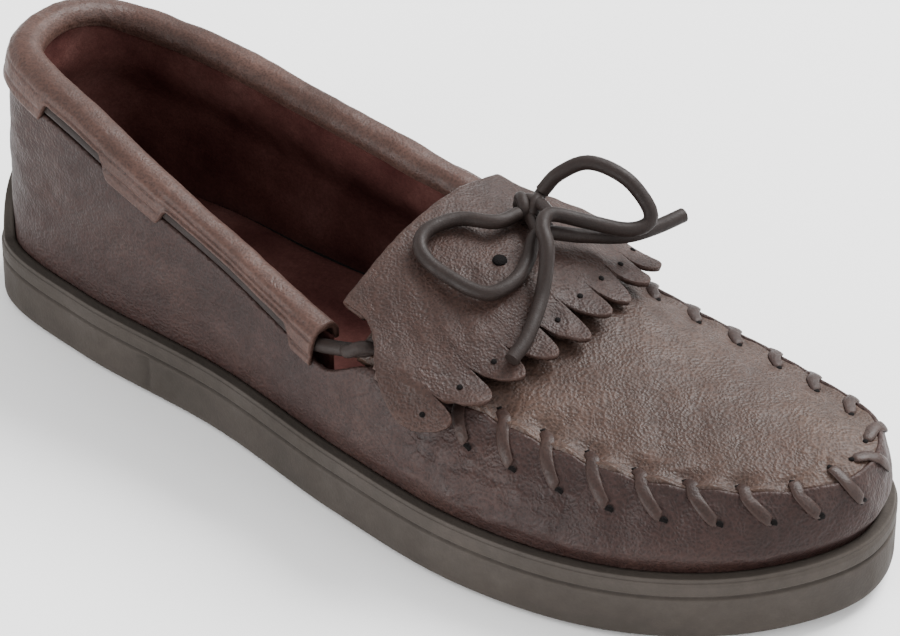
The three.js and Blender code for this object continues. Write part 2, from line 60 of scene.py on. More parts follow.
# Sixteen stations round the sole, as the CAD model has them: x, y, belly, edge inset, edge height.
STATIONS = np.array([
    [-1.0, 0.04, 4.0, 9.7, 1.0],
    [-0.925, -0.55, 4.0, 10.3, 1.03],
    [-0.66, -0.74, 3.6, 9.8, 0.875],
    [-0.3, -0.8, 3.0, 6.7, 0.54],
    [0.04, -0.97, 2.4, 8.6, 0.29],
    [0.36, -1.05, 2.0, 14.0, 0.18],
    [0.66, -0.89, 1.8, 12.5, 0.08],
    [0.885, -0.48, 1.6, 9.5, 0.03],
    [1.0, 0.11, 1.5, 5.5, 0.0],
    [0.93, 0.65, 1.6, 5.0, 0.02],
    [0.71, 0.91, 1.8, 9.0, 0.06],
    [0.4, 0.95, 2.0, 11.0, 0.19],
    [0.045, 0.78, 2.4, 9.0, 0.44],
    [-0.315, 0.67, 3.0, 8.0, 0.68],
    [-0.66, 0.69, 3.6, 9.9, 0.81],
    [-0.915, 0.55, 4.0, 10.1, 0.88],
])
COUNT = 16


def smooth(x, low=0.0, high=1.0):
    t = np.clip((np.asarray(x, float) - low) / (high - low), 0, 1)
    return t * t * (3 - 2 * t)


def mix(a, b, t):
    return a + (b - a) * t


def catmull_rom(a, b, c, d, u):
    """From b at u = 0 to c at u = 1, on a smooth curve through all four."""
    return 0.5 * (2 * b + (c - a) * u + (2 * a - 5 * b + 4 * c - d) * u**2 + (3 * b - a - 3 * c + d) * u**3)


def column(s, index):
    """One column of the stations, carried smoothly round the shoe."""
    s = np.asarray(s, float)
    i = np.floor(s).astype(int)
    u = s - i
    return catmull_rom(*(STATIONS[(i + k) % COUNT, index] for k in (-1, 0, 1, 2)), u)


def outline(s):
    return np.stack([column(s, 0) * LENGTH / 2, column(s, 1) * BALL_WIDTH / 2], -1)


def outward(s):
    d = outline(np.asarray(s) + 0.02) - outline(np.asarray(s) - 0.02)
    n = np.stack([d[..., 1], -d[..., 0]], -1)
    return n / np.linalg.norm(n, axis=-1, keepdims=True)


def lift(x):
    start = SPRING_START * LENGTH / 2
    return SPRING * np.maximum(0, (x - start) / (LENGTH / 2 - start)) ** 2


def at(s, inset, z):
    s, inset, z = np.broadcast_arrays(*(np.asarray(v, float) for v in (s, inset, z)))
    p = outline(s) - outward(s) * inset[..., None]
    return np.stack([p[..., 0], p[..., 1], z + lift(p[..., 0])], -1)


def from_heel(s):
    s = np.asarray(s, float)
    return np.abs(s - COUNT * np.round(s / COUNT))


def edge_inset(s):
    return column(s, 3)


def edge_height(s):
    return mix(TOE_HEIGHT, HEEL_HEIGHT, column(s, 4))


def seam_share(s):
    return smooth(from_heel(s), 3.7, 4.9)


def wall(s, h):
    """Inset and height of the upper's outer face: h is 0 at the lip and 1 at the edge."""
    h = np.clip(h, 0, 1)
    rolled = 1 - (1 - h**4) ** 0.25
    lean = mix(rolled, h**2.2, seam_share(s))
    belly = column(s, 2)
    side = mix(CUP_INSET, belly, smooth(h, 0, 0.3))
    return side + (edge_inset(s) - belly) * lean, mix(LIP, edge_height(s), h)


def wall_inset(s, z):
    return wall(s, (z - LIP) / (edge_height(s) - LIP))[0]


def crest_return(s):
    """From the crest to the inner face of the roll, with room for the lace."""
    lace = wall_inset(s, edge_height(s) - LACE_DEPTH) + LACE_FIT + LACE
    return np.maximum(CREST_RETURN, lace + GAP + LINING - edge_inset(s))


def waves(p, size, seed, octaves=3):
    """Smooth noise of about -1 to 1 over points, in features of the given size."""
    rng = np.random.default_rng(seed)
    total = np.zeros(p.shape[:-1])
    for octave in range(octaves):
        for _ in range(6):
            k = rng.normal(size=3)
            k *= 2 * math.pi / (size / 2**octave) / np.linalg.norm(k) * rng.uniform(0.7, 1.3)
            total += np.sin(p @ k + rng.uniform(0, 6.28)) * 0.55**octave
    return total / 4.5


# ---------------------------------------------------------------- meshes
def normals_of(p, closed_rows=False):
    """Unit normals of a grid of points."""
    if closed_rows:
        du = np.roll(p, -1, 0) - np.roll(p, 1, 0)
    else:
        du = np.gradient(p, axis=0)
    n = np.cross(du, np.gradient(p, axis=1))
    return n / np.maximum(np.linalg.norm(n, axis=-1, keepdims=True), 1e-9)


def make(name, parts, material, body, node=None):
    """One object from (points, faces) parts in millimetres."""
    points, faces, base = [], [], 0
    for p, f in parts:
        p = np.asarray(p, float).reshape(-1, 3)
        points.append(p)
        faces += [tuple(int(i) + base for i in face) for face in f]
        base += len(p)
    mesh = bpy.data.meshes.new(name)
    mesh.from_pydata((np.concatenate(points) * MM).tolist(), [], faces)
    work = bmesh.new()
    work.from_mesh(mesh)
    bmesh.ops.remove_doubles(work, verts=work.verts, dist=1e-6)
    bmesh.ops.dissolve_degenerate(work, edges=work.edges, dist=1e-7)
    bmesh.ops.recalc_face_normals(work, faces=work.faces)
    work.to_mesh(mesh)
    work.free()
    mesh.polygons.foreach_set("use_smooth", [True] * len(mesh.polygons))
    mesh.materials.append(material)
    obj = bpy.data.objects.new(name, mesh)
    bpy.context.scene.collection.objects.link(obj)
    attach(obj, body)
    if node:
        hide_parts(*([node] if isinstance(node, str) else node))
    return obj


def grid_faces(rows, columns, close_rows=False, close_columns=False):
    faces = []
    for i in range(rows if close_rows else rows - 1):
        for j in range(columns if close_columns else columns - 1):
            k, m = (i + 1) % rows, (j + 1) % columns
            faces.append((i * columns + j, k * columns + j, k * columns + m, i * columns + m))
    return faces


def shell(top, bottom):
    """A closed solid between two grids of the same shape, rim and all."""
    rows, columns = top.shape[:2]
    chains = np.concatenate([top, bottom[:, ::-1]], axis=1)
    parts = [(chains, grid_faces(rows, 2 * columns, False, True))]
    for i in (0, rows - 1):
        strip = np.stack([top[i], bottom[i]])
        parts.append((strip, grid_faces(2, columns)))
    return parts


def tube(path, radius, sides=14, flat=1.0, lies_on=None):
    """A round tube along points, or a flat one that lies on a surface with the given normals."""
    path = np.asarray(path, float)
    tangent = np.gradient(path, axis=0)
    tangent /= np.linalg.norm(tangent, axis=1, keepdims=True)
    normal = np.cross(tangent[0], [0, 0, 1.0])
    if np.linalg.norm(normal) < 0.1:
        normal = np.cross(tangent[0], [0, 1.0, 0])
    rings = []
    radius = np.broadcast_to(np.asarray(radius, float), (len(path),))
    angle = np.arange(sides) * 2 * math.pi / sides
    for i, (p, t, r) in enumerate(zip(path, tangent, radius)):
        normal = normal - t * (normal @ t) if lies_on is None else np.cross(t, lies_on[i])
        normal /= np.linalg.norm(normal)
        side = np.cross(t, normal)
        rings.append(p + r * (np.cos(angle)[:, None] * normal + flat * np.sin(angle)[:, None] * side))
    rings = np.array(rings)
    parts = [(rings, grid_faces(len(path), sides, False, True))]
    for ring in (rings[0], rings[-1]):
        parts.append((ring, [tuple(range(sides))]))
    return parts


def resample(points, count):
    """Points evenly along a smooth curve through the given ones, and the curve's length."""
    p = np.asarray(points, float)
    p = np.concatenate([[2 * p[0] - p[1]], p, [2 * p[-1] - p[-2]]])
    out = []
    for i in range(1, len(p) - 2):
        u = np.linspace(0, 1, 24, endpoint=False)[:, None]
        out.append(catmull_rom(*p[i - 1 : i + 3], u))
    fine = np.concatenate(out + [p[-2:-1]])
    run = np.concatenate([[0], np.cumsum(np.linalg.norm(np.diff(fine, axis=0), axis=1))])
    at_run = np.linspace(0, run[-1], count)
    return np.stack([np.interp(at_run, run, fine[:, k]) for k in range(3)], -1), run[-1]


# ---------------------------------------------------------------- materials
TONE = 0.27  # how far the colours, as they look, are darkened for the studio's strong light
CHROMA = 1.2  # and how far they are made stronger


def linear(rgb):
    mean = sum(rgb) / 3
    strong = [max(2.0, mean + (v - mean) * CHROMA) for v in rgb]
    return tuple(TONE * ((v / 255 + 0.055) / 1.055) ** 2.4 for v in strong) + (1.0,)


class Nodes:
    """A material's node tree, with short calls for what the materials here share."""

    def __init__(self, name):
        self.material = bpy.data.materials.new(name)
        self.material.use_nodes = True
        self.tree = self.material.node_tree
        self.shader = self.tree.nodes["Principled BSDF"]
        self.place = self.tree.nodes.new("ShaderNodeTexCoord").outputs["Object"]

    def put(self, kind, inputs=None, **settings):
        node = self.tree.nodes.new("ShaderNode" + kind)
        for key, value in settings.items():
            setattr(node, key, value)
        for key, value in (inputs or {}).items():
            self.link(value, node.inputs[key])
        return node

    def link(self, value, socket):
        if isinstance(value, bpy.types.NodeSocket):
            self.tree.links.new(value, socket)
        else:
            socket.default_value = value

    def noise(self, size_mm, detail=3.0, rough=0.55, place=None, distortion=0.0):
        inputs = {"Vector": place or self.place, "Scale": 1000 / size_mm, "Detail": detail}
        inputs.update({"Roughness": rough, "Distortion": distortion})
        return self.put("TexNoise", inputs).outputs["Fac"]

    def cells(self, size_mm, feature="F1", randomness=1.0, place=None):
        inputs = {"Vector": place or self.place, "Scale": 1000 / size_mm, "Randomness": randomness}
        return self.put("TexVoronoi", inputs, feature=feature).outputs["Distance"]

    def ramp(self, value, stops):
        node = self.put("ValToRGB", {"Fac": value})
        ramp = node.color_ramp
        while len(ramp.elements) < len(stops):
            ramp.elements.new(0.5)
        for element, (place, colour) in zip(ramp.elements, stops):
            element.position = place
            element.color = colour if len(colour) == 4 else (*colour, 1)
        return node.outputs["Color"]

    def grey(self, value, low, high, to_low=0.0, to_high=1.0):
        node = self.put("MapRange", {"Value": value, "From Min": low, "From Max": high})
        node.inputs["To Min"].default_value = to_low
        node.inputs["To Max"].default_value = to_high
        return node.outputs["Result"]

    def math(self, operation, a, b=0.0):
        return self.put("Math", {0: a, 1: b}, operation=operation).outputs[0]

    def blend(self, factor, a, b, mode="MIX"):
        node = self.put("Mix", data_type="RGBA", blend_type=mode)
        for socket, value in zip((node.inputs[0], node.inputs[6], node.inputs[7]), (factor, a, b)):
            self.link(value, socket)
        return node.outputs[2]

    def bump(self, height, distance_mm, strength=1.0, under=None):
        inputs = {"Height": height, "Distance": distance_mm * MM, "Strength": strength}
        if under is not None:
            inputs["Normal"] = under
        return self.put("Bump", inputs).outputs["Normal"]

    def worn(self):
        """1 on sharp outer edges and 0 in hollows."""
        geometry = self.put("NewGeometry")
        return self.grey(geometry.outputs["Pointiness"], 0.47, 0.56)

    def finish(self, colour, roughness, normal, gloss=0.14):
        self.link(colour, self.shader.inputs["Base Color"])
        self.link(roughness, self.shader.inputs["Roughness"])
        self.link(normal, self.shader.inputs["Normal"])
        self.shader.inputs["Specular IOR Level"].default_value = gloss
        return self.material


def leather(name, tones, grain_mm, depth_mm, crease_mm, crease, rough=0.55):
    """Waxed leather in three tones: a fine grain with dark pores, slow creases with painted shade in their
    hollows, and edges rubbed pale.
    """
    dark, mid, light = tones
    n = Nodes(name)
    warp = n.put("VectorMath", {0: n.noise(5.0), 1: (0.002, 0.002, 0.002)}, operation="MULTIPLY").outputs[0]
    place = n.put("VectorMath", {0: n.place, 1: warp}, operation="ADD").outputs[0]
    near_pore = n.cells(grain_mm * 0.85, place=place)
    grain = n.noise(grain_mm * 2.2, 3.0, 0.6)
    creases = n.noise(crease_mm, 4.0, 0.6, distortion=0.8)
    broad = n.noise(34.0, 3.0, 0.5)
    colour = n.ramp(broad, [(0.3, linear(dark)), (0.5, linear(mid)), (0.72, linear(light))])
    mottle = n.ramp(n.noise(5.5, 3.0, 0.6), [(0.3, (0.82, 0.8, 0.8)), (0.7, (1.14, 1.13, 1.13))])
    colour = n.blend(0.8, colour, mottle, "MULTIPLY")
    pore_tones = [(0.1, (0.45, 0.43, 0.43)), (0.34, (0.9, 0.89, 0.89)), (0.75, (1.6, 1.57, 1.55))]
    pores = n.ramp(near_pore, pore_tones)
    colour = n.blend(0.85, colour, pores, "MULTIPLY")
    # Painted shade: the hollows of the creases are darkened.
    crease_shade = n.math("MULTIPLY", n.grey(creases, 0.46, 0.3), 0.35)
    colour = n.blend(crease_shade, colour, linear([v * 0.6 for v in dark]))
    rubbed = linear([min(255, v * 1.22) for v in light])
    colour = n.blend(n.math("MULTIPLY", n.worn(), 0.5), colour, rubbed)
    height = n.math("ADD", n.math("MULTIPLY", near_pore, 0.8), n.math("MULTIPLY", grain, 0.5))
    normal = n.bump(creases, crease, 1.0)
    normal = n.bump(height, depth_mm, 0.9, normal)
    polish = n.math("ADD", n.math("MULTIPLY", grain, -0.3), n.noise(5.0))
    roughness = n.grey(polish, 0.1, 0.6, rough + 0.1, rough - 0.1)
    return n.finish(colour, roughness, normal, gloss=0.2)


def rubber():
    n = Nodes("sole_rubber_look")
    broad = n.noise(40.0, 4.0, 0.55)
    tones = [(0.3, linear((82, 76, 71))), (0.55, linear((99, 92, 87))), (0.75, linear((116, 108, 102)))]
    colour = n.ramp(broad, tones)
    dust = n.ramp(n.noise(3.0, 5.0, 0.7), [(0.4, (0.86, 0.86, 0.85)), (0.7, (1.12, 1.11, 1.1))])
    colour = n.blend(0.8, colour, dust, "MULTIPLY")
    colour = n.blend(n.math("MULTIPLY", n.worn(), 0.45), colour, linear((122, 113, 105)))
    grain = n.math("ADD", n.cells(0.8), n.math("MULTIPLY", n.noise(0.35, 2.0), 0.6))
    normal = n.bump(n.noise(12.0, 3.0), 0.25, 1.0)
    return n.finish(colour, n.grey(n.noise(8.0), 0.3, 0.7, 0.78, 0.6), n.bump(grain, 0.08, 0.7, normal))


def lining():
    n = Nodes("lining_look")
    tones = [(0.32, linear((104, 66, 64))), (0.55, linear((140, 98, 93))), (0.75, linear((168, 126, 120)))]
    colour = n.ramp(n.noise(22.0, 4.0), tones)
    nap = n.ramp(n.noise(0.9, 4.0, 0.75), [(0.3, (0.7, 0.68, 0.68)), (0.7, (1.25, 1.22, 1.22))])
    colour = n.blend(0.8, colour, nap, "MULTIPLY")
    normal = n.bump(n.noise(7.0, 3.0), 0.3, 1.0)
    return n.finish(colour, 0.92, n.bump(n.noise(0.45, 3.0), 0.12, 0.8, normal), gloss=0.06)


def layered(name, dark, light, grain_mm):
    """Board or foam, which is hardly seen, and the painted shade inside each punched hole."""
    n = Nodes(name)
    colour = n.ramp(n.noise(grain_mm, 5.0, 0.7), [(0.35, linear(dark)), (0.65, linear(light))])
    return n.finish(colour, 0.9, n.bump(n.cells(grain_mm), 0.15, 0.8))


# Each leather's tones, then its grain's size and depth, its creases' size and depth, and its roughness.
# The wrap's tones are darker than the apron's: painted shade on the shoe's sides, which face away from the top
# light, over the leather's own brown.
SHADED_WRAP_LOOK = leather("wrap_look_painted_shade", ((48, 33, 31), (64, 46, 43), (80, 61, 56)), 1.0, 0.27, 8.0, 0.45)
CUFF_LOOK = leather("collar_look", ((74, 55, 49), (96, 73, 66), (116, 92, 84)), 0.8, 0.1, 5.0, 0.35, 0.5)
APRON_LOOK = leather("apron_look", ((72, 55, 49), (92, 73, 65), (110, 91, 81)), 1.0, 0.28, 14.0, 0.25, 0.52)
FLAP_LOOK = leather("flap_look", ((60, 43, 39), (79, 60, 54), (98, 78, 71)), 0.9, 0.25, 11.0, 0.3)
THONG_LOOK = leather("thong_look", ((46, 33, 31), (63, 47, 43), (80, 63, 57)), 0.8, 0.08, 4.0, 0.2, 0.5)
LACE_LOOK = leather("lace_look", ((30, 22, 20), (44, 34, 31), (62, 51, 47)), 0.6, 0.06, 6.0, 0.15, 0.58)
RUBBER = rubber()
LINING_LOOK = lining()
BOARD = layered("board_look", (104, 84, 62), (140, 118, 92), 1.2)
FOAM = layered("foam_look", (34, 30, 30), (58, 52, 50), 0.9)
# Painted shade: the dark inside of a punched hole, laid on the leather as a dish.
HOLE_SHADE = layered("painted_hole_shade", (12, 8, 8), (22, 15, 14), 0.6)

# ---------------------------------------------------------------- camera
AZIMUTH, ELEVATION, DISTANCE = 38.0, 36.0, 1.15
AIM = Vector((0, 0, 0.03))
IMAGE_WIDTH, PIXELS_PER_M = 900, 3900.0
SENSOR = 36.0
camera = bpy.data.objects.new("camera", bpy.data.cameras.new("camera"))
bpy.context.scene.collection.objects.link(camera)
a, e = math.radians(AZIMUTH), math.radians(ELEVATION)
back = Vector((math.sin(a) * math.cos(e), -math.cos(a) * math.cos(e), math.sin(e)))
camera.location = AIM + back * DISTANCE
camera.rotation_euler = (-back).to_track_quat("-Z", "Y").to_euler()
camera.data.sensor_width = SENSOR
camera.data.lens = SENSOR * PIXELS_PER_M * DISTANCE / IMAGE_WIDTH
camera.data.shift_x, camera.data.shift_y = 25 / IMAGE_WIDTH, 6 / IMAGE_WIDTH
camera.data.clip_start, camera.data.clip_end = 0.01, 20
bpy.context.scene.camera = camera


# ---------------------------------------------------------------- the instep's surfaces
def instep(s, u, height):
    """A point over the instep: s on the outer side, u from the outer edge to the inner."""
    s, u, height = np.broadcast_arrays(*(np.asarray(v, float) for v in (s, u, height)))
    left = at(s, edge_inset(s), edge_height(s))
    right = at(COUNT - s, edge_inset(COUNT - s), edge_height(COUNT - s))
    across = (right - left) * [1, 1, 0]
    width = np.linalg.norm(across, axis=-1)
    across = across / np.maximum(width, 1e-9)[..., None]
    inside = np.clip(u, 0, 1)
    beyond = (u - inside) * width
    p = left + (right - left) * inside[..., None]
    top = mix(TOE_CROWN, CROWN, smooth(8 - s, 0, 8 - FLAP_REAR)) * smooth(8 - s, -0.01, 0.9)
    p[..., 2] += top * 4 * inside * (1 - inside) * (1 + CROWN_SKEW * (inside - 0.5))
    p += across * (beyond * 0.66)[..., None]
    p[..., 2] -= np.abs(beyond) * 0.75
    angle = 1.7 * (u - 0.5)
    p += across * (np.sin(angle) * height)[..., None]
    p[..., 2] += np.cos(angle) * height
    return p


def flap_face(a, b, height):
    """A point over the flap: a from its fold to its fringe, b from the outer side to the inner."""
    a, b, height = np.broadcast_arrays(*(np.asarray(v, float) for v in (a, b, height)))
    spread = smooth(a, 0.1, 0.85)
    u = mix(mix(0.12, -0.13, spread), mix(0.92, 1.04, spread), b)
    s = mix(FLAP_REAR, FLAP_FRONT - 0.32 * (2 * b - 1) ** 2, a)
    low = mix(FLAP_STANDOFF, FLAP_LOW, smooth(a, 0.5, 0.95))
    return instep(s, u, low + 1.6 * smooth(np.abs(u - 0.5), 0.36, 0.5) + height)


# ---------------------------------------------------------------- cords
KNOT = flap_face(0.34, 0.76, KILTIE + GAP + 3.6)
LIE = KILTIE + GAP + LACE / 2 + 0.4


def from_knot(x, y, z):
    return KNOT + np.array([x, y, z])


OUTER_BOW = [
    from_knot(0, -4.8, 0.3),
    from_knot(-1.5, -12, 1.2),
    flap_face(0.16, 0.54, LIE),
    flap_face(0.1, 0.42, LIE),
    flap_face(0.13, 0.34, LIE),
    flap_face(0.23, 0.31, LIE),
    flap_face(0.36, 0.33, LIE),
    flap_face(0.48, 0.36, LIE),
    flap_face(0.56, 0.4, LIE),
    flap_face(0.58, 0.48, LIE),
    flap_face(0.54, 0.56, LIE),
    from_knot(8.6, -7.5, -0.6),
    from_knot(15, 2, -3.6),
    from_knot(21.9, 10.7, -5.5),
    from_knot(25.3, 18.8, -6),
    from_knot(27.8, 28, -6),
]
INNER_BOW = [
    from_knot(1, 3.9, 3),
    from_knot(3.5, 7.2, 7.5),
    from_knot(9.5, 11.9, 11),
    from_knot(19, 14.4, 9),
    from_knot(26, 14.9, 3),
    from_knot(27.5, 13, -0.4),
    from_knot(24.4, 8, -1),
    from_knot(17, 1.5, 1.8),
    from_knot(10, -4.6, 4.4),
    from_knot(11.5, -10, 4),
    from_knot(16.2, -14.2, 1.6),
    flap_face(0.72, 0.5, 4.8),
    flap_face(0.84, 0.38, 4.6),
    flap_face(0.9, 0.3, 5),
]


def cord_curve(name, points, node):
    """A free end of the lace as a curve."""
    path, length = resample(points, 70)
    data = bpy.data.curves.new(name, "CURVE")
    data.dimensions = "3D"
    data.bevel_depth = LACE / 2 * MM
    data.bevel_resolution = 6
    data.use_fill_caps = True
    line = data.splines.new("POLY")
    line.points.add(len(path) - 1)
    for point, p in zip(line.points, path * MM):
        point.co = (*p, 1)
    line.use_smooth = True
    obj = bpy.data.objects.new(name, data)
    bpy.context.scene.collection.objects.link(obj)
    data.materials.append(LACE_LOOK)
    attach(obj, "flap")
    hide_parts(node)
    return obj


cord_curve("bow_loop_outer", OUTER_BOW, "bow_outer")
cord_curve("bow_loop_inner", INNER_BOW, "bow_inner")


# ---------------------------------------------------------------- sole
def guard(s):
    """How far the sole's heel guard stands above the lip."""
    return GUARD * np.maximum(0, 1 - from_heel(s) ** 3)


GROOVE_BELOW = 5.4  # the groove under the lip
HEEL_MARK = 2.52  # where a line in each side marks the heel, as a station
TREAD_DEPTH, TREAD_PITCH = 1.3, 7


def build_sole():
    rings = 420
    s = (np.arange(rings) * COUNT / rings)[:, None]
    raised = guard(s) / GUARD
    top = LIP + guard(s)
    outer = mix(0.9, WALL - 1.7, raised)
    groove = LIP - GROOVE_BELOW
    # A straight moulded line in each side marks the heel.
    mark = np.exp(-(((from_heel(s) - HEEL_MARK) / 0.02) ** 2)) * 1.1
    under, over = np.linspace(2.6, groove - 1.6, 14), np.linspace(groove + 1.7, LIP - 1.9, 8)
    rows = [[0, 0.15, 0.5, 1.0, 1.7], under, groove + np.linspace(-1.3, 1.3, 15), over]
    heights = np.concatenate(rows)[None, :]
    inset = 1.1 * np.exp(-heights / 0.55) + 0.9 * np.exp(-(((heights - groove) / 0.5) ** 2))
    inset = inset + mark * smooth(heights, 1.0, 2.0) * smooth(groove - heights, 0.6, 1.4)
    texture = 0.06 * np.sin(s * 140) * smooth(heights, 2, 3) * smooth(groove - heights, 1, 2)
    low = at(s, inset + texture, heights + 0 * s)
    # The top band, then the rounded lip and the wall down into the cup.
    turn = np.linspace(0, math.pi / 2, 8)[None, :]
    up = at(s, 0.15 + 0.35 * (1 - np.cos(turn)) + 0 * s, LIP - 1.6 + 0.6 * np.sin(turn) + 0 * s)
    high = at(s, outer + 0.35 * (1 - np.cos(turn)) - 0.3, top - 0.7 + 0.7 * np.sin(turn))
    back_in = at(s, mix(outer + 0.4, CUP_INSET - 0.35, np.linspace(0, 1, 4)[None, :]), top + 0 * turn[:, :4])
    down = at(s, CUP_INSET - 0.2 + 0 * s, mix(top - 0.4, CUP_FLOOR + 0.5, np.linspace(0, 1, 6)[None, :]))
    side = np.concatenate([low, up, high, back_in, down], axis=1)
    faces = grid_faces(rings, side.shape[1], True)
    parts = [(side, faces)]
    half = rings // 2
    across = np.linspace(0, 1, 61)[None, :, None]
    for row, tread in ((0, True), (side.shape[1] - 1, False)):
        left = side[: half + 1, row]
        right = side[(-np.arange(half + 1)) % rings, row]
        floor = left[:, None] * (1 - across) + right[:, None] * across
        if tread:
            x, y = floor[..., 0], floor[..., 1]
            rim = smooth(np.minimum(across[..., 0], 1 - across[..., 0]), 0.06, 0.09)
            rim = rim * smooth(np.abs(x), LENGTH / 2 - 12, LENGTH / 2 - 15)
            chevron = np.abs((x + 0.35 * np.abs(y)) / TREAD_PITCH % 1 - 0.5)
            waist = smooth(np.abs(x + 28), 14, 15)
            floor[..., 2] += TREAD_DEPTH * rim * smooth(0.16 - chevron, -0.04, 0.04) * waist
        parts.append((floor, grid_faces(half + 1, 61)))
    obj = make("cup_sole", parts, RUBBER, "shoe", "outsole")


# ---------------------------------------------------------------- the toe seam
SEAM_FROM = 4.45
FAN_FROM = 7.15  # past this station the apron's lines run to one point
IN_CUP = 0.08  # the share of the wrap that stands in the cup
seam_s = np.linspace(3.9, COUNT - 3.9, 1500)
seam_points = at(seam_s, edge_inset(seam_s) + 1.0, edge_height(seam_s))
seam_run = np.concatenate([[0], np.cumsum(np.linalg.norm(np.diff(seam_points, axis=0), axis=1))])


def phase(s):
    return np.interp(s, seam_s, seam_run) / STITCH_PITCH


def seam_mask(s):
    return smooth(from_heel(s), SEAM_FROM - 0.35, SEAM_FROM + 0.15)


def snug(s):
    """How far the seam's puckers stand up, which is less round the toe and on the inner side."""
    return 1 - 0.65 * smooth(s, 6.6, 7.5)


def pull(s, shift=0.0):
    """1 at a stitch, 0 midway between two."""
    return np.abs(np.cos(math.pi * (phase(s) + shift))) ** 3


def wrap_drop(s):
    """How far the wrap's top edge lies below the crest, which is only under the cuff."""
    return WRAP_STOP * (1 - smooth(from_heel(s), CUFF_END + 0.05, CUFF_END + 0.4))


def wrap_surface(s, k):
    """The outer face of the wrap: k from 0 in the cup to 1 at its top edge."""
    top = np.clip((edge_height(s) - wrap_drop(s) - LIP) / (edge_height(s) - LIP), 0, 1)
    h = np.clip((k - IN_CUP) / (1 - IN_CUP), 0, 1) * top
    inset, z = wall(s, h)
    z = z - (IN_CUP - np.minimum(k, IN_CUP)) / IN_CUP * 5
    p = at(s, inset, z)
    below = edge_height(s) - z
    seam = seam_mask(s) * snug(s)
    near = np.exp(-below / 5.0) * seam
    puff = near * (1.5 - 2.4 * pull(s, 0.3))
    ridge = np.exp(-below / 1.6) * seam
    creases = waves(p, 16, 3) * 0.35 * smooth(below, 1, 8) + waves(p * [1, 1, 0.35], 7, 8) * 0.3 * near
    flex = np.exp(-(((from_heel(s) - 5.0) / 0.8) ** 2)) * waves(p * [1, 1, 2.2], 9, 5) * 0.5
    out = (puff * smooth(below, 0, 2.5) + creases + flex * smooth(below, 2, 8)) * smooth(k, IN_CUP, 0.3)
    clear = mix(1.0, 0.0, smooth(h, 0.6, 0.8) * (1 - smooth(from_heel(s), 3.9, 4.3)))
    n = outward(s)
    p[..., 0] += n[..., 0] * out * clear
    p[..., 1] += n[..., 1] * out * clear
    p[..., 2] += 0.9 * ridge * (1 - 0.8 * pull(s, 0.12))
    return p


def build_wrap():
    rings = 720
    s = (np.arange(rings) * COUNT / rings)[:, None] + np.zeros((1, 56))
    k = np.concatenate([np.linspace(0, 0.75, 30), 1 - np.linspace(0.24, 0, 26)])[None, :] + 0 * s
    outer = wrap_surface(s, k)
    n = normals_of(outer, True)
    if (n[:, 20] * np.concatenate([outward(s[:, 20]), np.zeros((rings, 1))], 1)).sum() > 0:
        n = -n
    inner = outer + n * LEATHER
    turn = np.linspace(0.15, 0.85, 5)[None, :, None] * math.pi
    top, under = outer[:, -1:], inner[:, -1:]
    along = top - outer[:, -2:-1]
    along /= np.linalg.norm(along, axis=-1, keepdims=True)
    rim = (top + under) / 2 + (top - under) / 2 * np.cos(turn) + along * 0.7 * np.sin(turn)
    chain = np.concatenate([outer, rim, inner[:, ::-1]], axis=1)
    faces = grid_faces(rings, chain.shape[1], True, True)
    obj = make("leather_wrap_upper", [(chain, faces)], SHADED_WRAP_LOOK, "shoe", "leather_wrap")


def apron_surface(s, w, height=0.0):
    """The top of the apron: s round the seam, w from the seam to the middle line."""
    s, w = np.broadcast_arrays(np.asarray(s, float), np.asarray(w, float))
    inset = edge_inset(s) + APRON_GAP - 0.9
    edge = at(s, inset, edge_height(s))
    outer = np.minimum(from_heel(s), FAN_FROM)
    middle = instep(outer, 0.5, 0.0)
    flat = instep(outer, 0.0, 0.0)[..., 2] * 0.5 + instep(outer, 1.0, 0.0)[..., 2] * 0.5
    share = w * (2 - w)
    side = np.clip((s - 8) / 0.9, -1, 1)
    skew = 1 + CROWN_SKEW * side * (1 - w) / 2
    p = edge + (middle - edge) * w[..., None]
    p[..., 2] = edge[..., 2] * (1 - w) + flat * w + (middle[..., 2] - flat) * share * skew
    inward = np.linalg.norm((middle - edge)[..., :2], axis=-1) * w
    seam = seam_mask(s) * snug(s) * smooth(1 - w, 0, 0.2)
    roll = np.exp(-((inward / 1.8) ** 2)) * 1.5 * seam
    groove = -0.8 * np.exp(-(((inward - 5.0) / 2.2) ** 2)) * pull(s, 0.42) * seam
    fold = np.exp(-inward / 5.0) * seam * (0.9 - 1.8 * pull(s, 0.3))
    # At the middle line every height depends on the place alone, so the two halves meet.
    away = np.maximum(smooth(inward, 4, 12), smooth(w, 0.8, 1))
    swell = waves(p, 30, 11) * 0.5 * away + waves(p, 8, 12) * 0.12
    p[..., 2] += roll * (1 - 0.5 * pull(s)) + groove + fold + swell + height
    return p


def halves(top, bottom):
    """A closed solid whose two halves meet along the last column of its grids."""
    rows, columns = top.shape[:2]
    faces = grid_faces(rows, columns)
    rim = np.stack([top[:, 0], bottom[:, 0]])
    parts = [(top, faces), (bottom, faces), (rim, grid_faces(2, rows))]
    for i in (0, rows - 1):
        parts.append((np.stack([top[i], bottom[i]]), grid_faces(2, columns)))
    return parts


def build_apron():
    s = np.linspace(4.02, COUNT - 4.02, 620)[:, None] + np.zeros((1, 60))
    w = (np.linspace(0, 1, 60) ** 1.6)[None, :] + 0 * s
    top = apron_surface(s, w)
    # The edge of the leather is turned down into the seam.
    down = np.linspace(0, 1, 5)[None, :, None]
    n = outward(s[:, :1])
    lip = top[:, :1] + np.concatenate([n * 0.5, -np.ones(n.shape[:2] + (1,))], -1) * down[:, ::-1] * 1.5
    top = np.concatenate([lip[:, :-1], top], axis=1)
    obj = make("apron_panel", halves(top, top - [0, 0, LEATHER]), APRON_LOOK, "shoe", "apron")
    under = halves(top[:, 7:] - [0, 0, LEATHER + 0.2], top[:, 7:] - [0, 0, LEATHER + GAP + LINING])
    obj = make("apron_back", under, LINING_LOOK, "shoe", "apron_lining")


